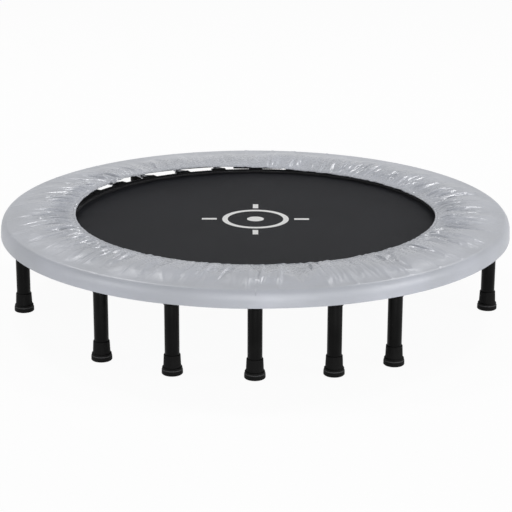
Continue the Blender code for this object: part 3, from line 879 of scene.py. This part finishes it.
def tab_rings():
    """The strap's path in the radial plane runs out over the band, round the ring's bar and back under. Its
    section is a thin bar with cut corners, set off the path along the path's normal."""
    bend = np.linspace(math.pi / 2, -math.pi / 2, 12)
    loop_r = RING_WIRE + STRAP / 2
    out = np.linspace(BAND_OUT - TAB_SEWN, RING_BAR_R, 6)[:-1]
    lift = np.linspace(BAND_HALF + STRAP / 2, loop_r, 5)
    radial = np.concatenate([out, RING_BAR_R + loop_r * np.cos(bend), out[::-1]])
    path = together(radial, np.concatenate([lift, loop_r * np.sin(bend), -lift[::-1]]))
    ahead = np.gradient(path, axis=0)
    normal = unit(together(-ahead[:, 1], ahead[:, 0]))
    length = np.append(0, np.cumsum(np.linalg.norm(np.diff(path, axis=0), axis=1)))
    half, cut = TAB_WIDTH / 2, TAB_WIDTH / 2 - STRAP_CORNER
    across = np.array([-half, -cut, cut, half, half, cut, -cut, -half])
    depth = STRAP * np.array([-0.35, -0.5, -0.5, -0.35, 0.35, 0.5, 0.5, 0.35])
    place = path[:, None] + normal[:, None] * depth[:, None]
    return together(across, place[..., 0], place[..., 1]), together(length[:, None], across)


def turn_to(points, azimuth):
    """Points given as (across, radius, up) about the deck, turned to an azimuth."""
    across, radius, up = np.moveaxis(points, -1, 0)
    cos, sin = math.cos(azimuth), math.sin(azimuth)
    return together(radius * sin + across * cos, -radius * cos + across * sin, DECK + up)


def build_spring(number):
    """A tab, a ring and a spring. The first and the middle spring pull on the hinge channels."""
    azimuth = 2 * math.pi * number / SPRING_COUNT
    half = SPRING_COUNT // 2
    if number % half == 0:
        body, place, seat_r = "middle", "back" if number else "front", HINGE_Y - CHANNEL_HALF - HOOK_GAP
    else:
        place = "right" if number < half else "left"
        body, seat_r = f"{place}_wing", FRAME_R - TUBE_R - HOOK_GAP
    strap, strap_uv = tab_rings()
    tab = skin(f"tab_{number:02d}", turn_to(strap, azimuth), WEBBING, uv=strap_uv)
    belong(tab, body, "mat_black", f"spring_set_{place}")
    ring = turn_to(carried_tube(ring_path(), RING_WIRE, wrap=True), azimuth)
    wire = turn_to(carried_tube(spring_path(seat_r), COIL_WIRE, sides=7), azimuth)
    belong(skin(f"ring_{number:02d}", ring, ZINC, wrap=True), body, "spring_steel", f"spring_set_{place}")
    belong(skin(f"spring_{number:02d}", wire, WIRE), body, "spring_steel", f"spring_set_{place}")


for number in range(SPRING_COUNT):
    build_spring(number)
print("springs made:", SPRING_COUNT)

# %% [markdown]
# ## The padded cover
# The cover is a tube of coated nylon round a foam ring. Its top is cut as a strip that is far longer round
# its inner side than the hole it must fit, and is gathered onto an elastic. That is what makes the folds, so
# that is what is simulated: a cone of cloth, cut to the flat strip's size, whose inner edge is drawn in
# until it has the elastic's length. The spare cloth has nowhere to go and buckles into folds that run
# outwards and fade, as the real ones do. The crease at the outside is held still.

# %% Cover sizes
INNER_R = 0.3605
CREASE_R = 0.496
TOP_WIDTH = CREASE_R - INNER_R
CREASE_Z = DECK + 0.0172
INNER_Z = DECK + 0.0186
CROWN_Z = DECK + 0.0214
FOAM_BASE = DECK + 0.0145
CLOTH_COLUMNS = 900
CLOTH_ROWS = 48
COVER_STEPS = 1440
TOP_STEPS = 78
FULLNESS = 0.50
FULLNESS_FADE = 1.6
UNEVEN = 0.0004
EDGE_UNEVEN = 0.0007
cloth_azimuths = circle(CLOTH_COLUMNS)
cloth_shares = np.linspace(0, 1, CLOTH_ROWS)
print(f"the cut is {FULLNESS * TOP_WIDTH / INNER_R * 100:.0f}% longer than the elastic")


# %% Cut and gathered shapes
def plain_radius(share):
    """The top's radius without folds, from the elastic at share 0 to the crease at share 1."""
    return INNER_R + share * TOP_WIDTH


def plain_height(share):
    """The top's height without folds or crown."""
    return INNER_Z + (CREASE_Z - INNER_Z) * share


def cut_and_target():
    """The cut is a cone: its radius is the finished one plus the spare length, and its slope keeps the width.
    Both shapes are uneven by fractions of a millimetre, so that the cloth has somewhere to start buckling."""
    radius = plain_radius(cloth_shares)
    cut_radius = radius + FULLNESS * (1 - cloth_shares) ** FULLNESS_FADE * TOP_WIDTH
    row_width = TOP_WIDTH / (CLOTH_ROWS - 1) * 1.01
    rise = np.sqrt(np.maximum(row_width**2 - np.diff(cut_radius) ** 2, 0))
    rise = np.append(np.cumsum(rise[::-1])[::-1], 0.0)
    generator = np.random.default_rng(7)
    uneven = generator.normal(0, UNEVEN, (CLOTH_COLUMNS, CLOTH_ROWS)) * (1 - cloth_shares)
    edge = generator.normal(0, EDGE_UNEVEN, CLOTH_COLUMNS)
    cut = polar(cut_radius, cloth_azimuths[:, None], CREASE_Z + rise + uneven)
    uneven[:, 0] = (np.roll(edge, 1) + edge + np.roll(edge, -1)) / 3
    return cut, polar(radius, cloth_azimuths[:, None], plain_height(cloth_shares) + uneven)


def gather_cloth(frames=20, settle=6):
    """Draws the inner edge of the cut in from frame to frame and reads off where the cloth went."""
    cut, target = cut_and_target()
    faces = ring_faces(CLOTH_COLUMNS, CLOTH_ROWS, True).reshape(CLOTH_COLUMNS, CLOTH_ROWS, 4)
    mesh = bpy.data.meshes.new("cloth_strip")
    mesh.from_pydata(cut.reshape(-1, 3).tolist(), [], faces[:, :-1].reshape(-1, 4).tolist())
    strip = add_object("cloth_strip", mesh)
    strip.shape_key_add(name="cut")
    key = strip.shape_key_add(name="gathered")
    key.data.foreach_set("co", target.ravel())
    for value, frame_number in ((0.0, 1), (1.0, frames)):
        key.value = value
        key.keyframe_insert("value", frame=frame_number)
    held = strip.vertex_groups.new(name="held")
    first = np.arange(CLOTH_COLUMNS) * CLOTH_ROWS
    held.add(np.concatenate([first, first + CLOTH_ROWS - 1]).tolist(), 1.0, "REPLACE")

    modifier = strip.modifiers.new("cloth", "CLOTH")
    values = dict(quality=5, mass=0.3, tension_stiffness=15, compression_stiffness=15, shear_stiffness=3.75,
                  bending_stiffness=0.005, tension_damping=5, compression_damping=5, shear_damping=5,
                  bending_damping=0.5, air_damping=2.0, vertex_group_mass="held")
    for label, value in values.items():
        setattr(modifier.settings, label, value)
    modifier.settings.effector_weights.gravity = 0.0
    modifier.collision_settings.use_collision = False
    modifier.point_cache.frame_end = frames + settle
    for frame_number in range(1, frames + settle + 1):
        bpy.context.scene.frame_set(frame_number)
    shape = strip.evaluated_get(bpy.context.evaluated_depsgraph_get()).to_mesh()
    points = np.empty(CLOTH_COLUMNS * CLOTH_ROWS * 3)
    shape.vertices.foreach_get("co", points)
    action = mesh.shape_keys.animation_data.action
    bpy.data.objects.remove(strip)
    bpy.data.meshes.remove(mesh)
    bpy.data.actions.remove(action)
    bpy.context.scene.frame_set(1)
    return points.reshape(CLOTH_COLUMNS, CLOTH_ROWS, 3)


gathered = gather_cloth()
print("gathered cloth:", gathered.shape)

# %% [markdown]
# The simulated grid is coarse. It is made finer by adding the missing waves as zeros to its Fourier series
# round the ring, which is exact for a closed ring, and by straight interpolation across the width. What the
# cloth did is kept as a turn, a radius and a rise beside the plain ring.


# %% Finer grid
def half_turn(angle):
    """An angle in radians brought to between -pi and pi."""
    return np.angle(np.exp(1j * angle))


def finer(grid):
    """Round the ring by padding the Fourier series with zeros, and across by linear interpolation."""
    waves = np.fft.rfft(grid, axis=0)
    padded = np.zeros((COVER_STEPS // 2 + 1, CLOTH_ROWS), complex)
    padded[: len(waves)] = waves
    ring = np.fft.irfft(padded, COVER_STEPS, axis=0) * COVER_STEPS / CLOTH_COLUMNS
    place = top_shares * (CLOTH_ROWS - 1)
    before = np.minimum(place.astype(int), CLOTH_ROWS - 2)
    part = place - before
    return ring[:, before] * (1 - part) + ring[:, before + 1] * part


ring_azimuths = circle(COVER_STEPS)
top_shares = np.linspace(0, 1, TOP_STEPS)
cloth_turn = np.arctan2(gathered[..., 0], -gathered[..., 1]) - cloth_azimuths[:, None]
top_turn = finer(half_turn(cloth_turn))
top_radius = finer(np.hypot(gathered[..., 0], gathered[..., 1]) - plain_radius(cloth_shares))
top_rise = finer(gathered[..., 2] - plain_height(cloth_shares))
print(f"folds rise {top_rise.max() * 1000:.1f} mm and dip {top_rise.min() * 1000:.1f} mm")

# %% [markdown]
# Sewing to the elastic also leaves puckers that are finer than the simulated grid. Each is a narrow ridge on
# its own slanted line. Short ones crowd along the elastic, long ones run the whole way out, and others
# spread in fans from where the elastic has bunched the cloth. Their places, lengths and widths come from one
# seeded generator.

# %% Sewing puckers
# Fans, ridges in each, spread at the edge, flare, lengths, widths, rises, share of the rise at the edge.
PUCKER_KINDS = (
    (520, 1, 0.000, 0.010, (0.08, 0.20), (0.0013, 0.0024), (-0.0005, 0.0010), 1.0),
    (200, 1, 0.000, 0.030, (0.14, 0.46), (0.0024, 0.0046), (-0.0004, 0.0012), 0.4),
    (44, 5, 0.066, 0.045, (0.40, 1.05), (0.0018, 0.0038), (-0.0006, 0.0056), 0.08),
    (26, 3, 0.080, 0.080, (0.60, 1.10), (0.0030, 0.0064), (-0.0016, 0.0070), 0.08),
    (130, 1, 0.000, 0.012, (1.00, 1.80), (0.0024, 0.0050), (-0.0010, 0.0044), 0.30))


def pucker_grid(azimuths, shares):
    """A ridge sits at a0 + tilt * share and falls off across it as exp(-|gap/width|^1.4). It fades outwards
    as (1 - share/length)^1.3. The ridges of one fan start close together and spread as they run out."""
    generator = np.random.default_rng(41)
    total = np.zeros((len(azimuths), len(shares)))
    step = 2 * math.pi / len(azimuths)
    for fans, ridges, spread, flare, lengths, widths, rises, at_edge in PUCKER_KINDS:
        centres = (np.arange(fans) + generator.uniform(-0.45, 0.45, fans)) * 2 * math.pi / fans
        leans = generator.normal(0, flare, fans)
        offsets = generator.uniform(-1, 1, (fans, ridges))
        places = (centres[:, None] + offsets * spread).ravel()
        tilts = (leans[:, None] + offsets * flare).ravel()
        drawn = [generator.uniform(*limits, fans * ridges) for limits in (lengths, widths, rises)]
        strength = at_edge + (1 - at_edge) * smooth(shares, 0.02, 0.28)
        for a0, tilt, length, width, height in zip(places, tilts, *drawn):
            reach = abs(tilt) + 3 * width / INNER_R
            columns = np.arange(int((a0 - reach) / step) - 1, int((a0 + reach) / step) + 2)
            gap = (columns[:, None] * step - (a0 + tilt * shares)) * plain_radius(shares)
            fade = np.clip(1 - shares / length, 0, 1) ** 1.3 * strength
            total[columns % len(azimuths)] += height * fade * np.exp(-np.abs(gap / width) ** 1.4)
    return total


puckers = pucker_grid(ring_azimuths, top_shares)
print(f"puckers up to {puckers.max() * 1000:.1f} mm")

# %% [markdown]
# A sewn cover is never the same all round. The photograph shows where its gathers are strong and how far out
# they reach, that its inner edge rides up at the back left and droops at the back right, and that the folds
# lean, because the elastic has slipped along the cover. Sums of a few waves round the ring add the faster
# change between neighbours.

# %% Change round the ring
# Azimuth in degrees, strength of the gathers, and how far out they reach as a share of the width.
GATHER_STRETCHES = np.array([
    (-180, 1.15, 0.70), (-145, 1.25, 0.80), (-105, 2.10, 1.02), (-72, 2.10, 1.10), (-42, 2.10, 0.98),
    (-12, 1.90, 0.92), (18, 2.50, 1.08), (50, 2.10, 1.04), (90, 2.00, 1.04), (130, 1.60, 0.86),
    (180, 1.15, 0.70)])
# Each wave is (height, number round the ring, phase).
STRENGTH_WAVES = ((0.22, 17, 2.1), (0.14, 31, 0))
REACH_WAVES = ((0.10, 11, 0.5), (0.08, 23, 1.4))
SLANT_WAVES = ((0.040, 2, 0.9), (0.028, 5, 2.5), (0.010, 13, 0))
# A place where the edge lies off the level: (azimuth in degrees, spread in degrees, power, rise).
EDGE_RIDES_UP = (-122, 32, 2, 0.0048)
EDGE_DROOPS = (140, 46, 4, -0.0085)


def ripple(azimuth, *waves):
    """The sum of height * sin(azimuth * number + phase) over some waves."""
    return sum(height * np.sin(azimuth * number + phase) for height, number, phase in waves)


def edge_lift(azimuth):
    """Each place adds its rise * exp(-(degrees from it / spread)^power)."""
    lift = 0
    for place, spread, power, rise in (EDGE_RIDES_UP, EDGE_DROOPS):
        away = np.degrees(half_turn(azimuth - math.radians(place)))
        lift = lift + np.exp(-((away / spread) ** power)) * rise
    return lift


def fullness_round(azimuth, share):
    """strength * (1 - share/reach)^1.1, both read between the stretches and made uneven by waves."""
    around = np.degrees(half_turn(azimuth))
    strength, reach = (np.interp(around, GATHER_STRETCHES[:, 0], GATHER_STRETCHES[:, k]) for k in (1, 2))
    strength = strength * (1 + ripple(azimuth, *STRENGTH_WAVES))
    reach = reach + ripple(azimuth, *REACH_WAVES)
    return strength * (1 - np.clip((share - 0.08) / reach, 0, 1)) ** 1.1


print(f"the edge rides {edge_lift(ring_azimuths).max() * 1000:.1f} mm up at most")

# %% [markdown]
# The cover's section starts at the elastic, crosses the gathered top to the sewn crease, rounds over the
# shoulder, hangs as a skirt to the hem, and comes back inside the skirt and along the underside. The whole
# section is one closed ring of cloth, so the cover has a real thickness from every side.

# %% Cover surface
# The line of stitches along the elastic, as a share of the width, how deep it sinks, and how wide.
EDGE_SEAM = 0.042
SEAM_DEPTH = 0.0009
SEAM_SPREAD = 0.012
FOLD_GAIN = 1.35
DIP_KEPT = 0.25
FOLD_LIMIT = 0.0085
CLOTH_GAP = 0.0016
FOAM_GAP = 0.0056
UNDERSIDE_R = 0.485
SKIRT_R = PAD_R - 0.002
SKIRT_STEPS = 24
HEM_WAVES = ((0.0012, 5, 1.0), (0.0008, 13, 2 * np.sin(ring_azimuths[:, None] * 3)))
UNDERSIDE_STEPS = 14
COVER_MIDDLE_R = 0.43
COVER_BEND = 0.024
SEAM_THREAD_R = 0.00042
SEAM_THREAD_LIFT = 0.0003


def cover_top(azimuth, share):
    """The plain ring with a low crown, plus what the cloth did: its folds by their local fullness, with dips
    kept shallow, plus the puckers, eased off towards a limit by tanh. A seam sinks a little groove."""
    crown = np.sin(math.pi * share**0.8) * (CROWN_Z - INNER_Z)
    held_down = 0.08 + 0.92 * smooth(share, 0.02, 0.34)
    folds = np.where(top_rise < 0, top_rise * DIP_KEPT, top_rise) * FOLD_GAIN * held_down
    folds = FOLD_LIMIT * np.tanh((folds * fullness_round(azimuth, share) + puckers) / FOLD_LIMIT)
    seam = -SEAM_DEPTH * np.exp(-(((share - EDGE_SEAM) / SEAM_SPREAD) ** 2))
    lift = edge_lift(azimuth) * (1 - smooth(share, 0, 0.6))
    slant = ripple(azimuth, *SLANT_WAVES) * (1 - share) ** 1.5
    height = plain_height(share) + crown + folds + seam + lift
    return polar(plain_radius(share) + top_radius, azimuth + top_turn + slant, height)


def cover_rings():
    """The cover's sections round the whole ring, as one array of (azimuth step, place in the section, 3). The
    skirt's radius grows along a quarter circle over its shoulder and waves a little at the hem."""
    azimuth = ring_azimuths[:, None]
    top = cover_top(azimuth, top_shares)

    hem_wave = ripple(azimuth, *HEM_WAVES)
    drop = np.linspace(0, 1, SKIRT_STEPS) ** 1.5
    shoulder = np.sqrt(1 - (1 - np.clip(drop / 0.62, 0, 1)) ** 2)
    skirt_r = CREASE_R + (SKIRT_R - CREASE_R) * shoulder + hem_wave * smooth(drop, 0.3, 1.0)
    skirt_z = CREASE_Z + (HEM_Z + hem_wave * 0.6 - CREASE_Z) * drop
    skirt = polar(skirt_r[:, 1:], azimuth, skirt_z[:, 1:])

    inside_z = np.minimum(skirt_z[:, ::-1], FOAM_BASE)
    inside_r = skirt_r[:, ::-1] - np.where(inside_z >= FOAM_BASE, FOAM_GAP, CLOTH_GAP)
    inside = polar(inside_r, azimuth, inside_z)

    under_share = np.linspace(1, 0, UNDERSIDE_STEPS)[1:]
    edge_z = top[:, :1, 2] - CLOTH_GAP
    under_z = FOAM_BASE + (edge_z - FOAM_BASE) * (1 - smooth(under_share, 0.0, 0.30))
    under = polar(INNER_R + under_share * (UNDERSIDE_R - INNER_R), azimuth, under_z)
    return np.concatenate([top, skirt, inside, under], axis=1)


def cover_half(rings, side):
    """The sections from X = 0 at the front to X = 0 at the back. Their UV is the cloth's own length, round
    the ring at the cover's middle radius and along the mean section."""
    half = COVER_STEPS // 2
    order = np.arange(half + 1) if side == "right" else -np.arange(half + 1)
    radius = np.hypot(rings[..., 0], rings[..., 1]).mean(axis=0)
    height = rings[..., 2].mean(axis=0)
    across = np.append(0, np.cumsum(np.hypot(np.diff(radius), np.diff(height))))
    along = (order * 2 * math.pi / COVER_STEPS)[:, None] * COVER_MIDDLE_R
    return skin(f"cover_{side}", rings[order % COVER_STEPS], COVER, uv=together(along, across), sharp=75.0)


def seam_threads(rings, side):
    """Stitches that follow the folds: at every other grid step along the seam a thread runs from one step to
    the next, arched out along the cloth's normal."""
    place = round(EDGE_SEAM * (TOP_STEPS - 1))
    half = COVER_STEPS // 2
    starts = np.arange(1, half - 2, 2) if side == "right" else -np.arange(3, half, 2)
    sections = rings[starts % COVER_STEPS]
    start, across = sections[:, place], sections[:, place + 1] - sections[:, place - 1]
    ahead = rings[(starts + 1) % COVER_STEPS, place] - start
    normal = np.cross(ahead, across)
    normal = unit(normal * np.sign(normal[:, 2:]))[:, None]
    sideways = unit(across)[:, None]
    spots = np.linspace(-0.18, 1.18, THREAD_PLACES)[:, None]
    arch = SEAM_THREAD_LIFT + SEAM_THREAD_R * (1.3 - 5.2 * (spots - 0.5) ** 2)
    middle = start[:, None] + ahead[:, None] * spots + normal * arch
    turn = circle(THREAD_SIDES)[:, None]
    rim = SEAM_THREAD_R * (np.cos(turn) * sideways + np.sin(turn) * normal)
    return sew(f"edge_stitches_{side}", middle[:, :, None] + rim[:, None], PALE_THREAD)


all_rings = cover_rings()
for side in WINGS:
    cover = cover_half(all_rings, side)
    fold(cover, side, COVER_BEND, "pad_grey", f"pad_{side}", "pad_fold_front", "pad_fold_back")
    threads = seam_threads(all_rings, side)
    fold(threads, side, COVER_BEND, "pad_grey")
    print(cover.name, len(cover.data.polygons), "faces,", len(threads.data.polygons), "in its stitches")

# %% [markdown]
# ## Floor, light and view
# The floor is one pale sheet. Seen by the camera it is partly lit from within, so that the background stays
# near white and the object still keeps a soft shadow. Three low lamps in front light the skirt, two high
# ones behind put the satin shine on the gathers, and the sky fills the rest.

# %% Floor
FLOOR_REACH = 30.0
FLOOR_GLOW = 0.95


def floor_finish():
    """Paint blended with a white glow: most of what the camera sees is glow, and light only meets the paint."""
    shader = Shader("floor_paint", Base_Color=(0.86, 0.86, 0.86), Roughness=0.9)
    paint = Value(shader, shader.surface.outputs[0])
    glow = shader.node("Emission", None, {"Strength": 1.0})
    shader.show("Material Output", shader.seen() * FLOOR_GLOW, paint, glow)
    return shader.material


corners = FLOOR_REACH * np.array([(-1, -1, 0), (1, -1, 0), (1, 1, 0), (-1, 1, 0)])
floor = make_piece("floor", corners, [[0, 1, 2, 3]], floor_finish())
print("floor laid")

# %% Lights and world
WHITE = (1.0, 1.0, 1.0)
SKY_LIGHT = 0.20
LAMP_TARGET = Vector((0, 0, 0.15))
# Each lamp's place, width and power in watts.
LAMPS = {
    "front_light": ((0.4, -4.5, 0.8), 3.0, 100),
    "front_left_light": ((-4.1, -2.2, 0.7), 2.6, 62),
    "front_right_light": ((4.1, -2.2, 0.7), 2.6, 104),
    "back_left_light": ((-1.3, 2.0, 3.2), 0.7, 40),
    "back_right_light": ((1.6, 1.9, 3.2), 0.7, 40)}

for name, (place, width, power) in LAMPS.items():
    lamp_data = bpy.data.lights.new(name, "AREA")
    lamp_data.shape = "DISK"
    lamp_data.size = width
    lamp_data.energy = power
    lamp = add_object(name, lamp_data)
    lamp.location = place
    lamp.rotation_euler = (LAMP_TARGET - Vector(place)).to_track_quat("-Z", "Y").to_euler()

world = bpy.data.worlds.new("studio")
bpy.context.scene.world = world
world.use_nodes = True
studio = Nodes(world.node_tree)
sky = studio.tree.nodes["Background"]
studio.feed(sky.inputs["Color"], WHITE)
studio.feed(sky.inputs["Strength"], SKY_LIGHT)
backdrop = studio.node("Background", None, {"Color": WHITE})
studio.show("World Output", studio.seen(), Value(studio, sky.outputs[0]), backdrop)
bpy.context.scene.view_settings.view_transform = "Standard"
print("lamps:", len(LAMPS))
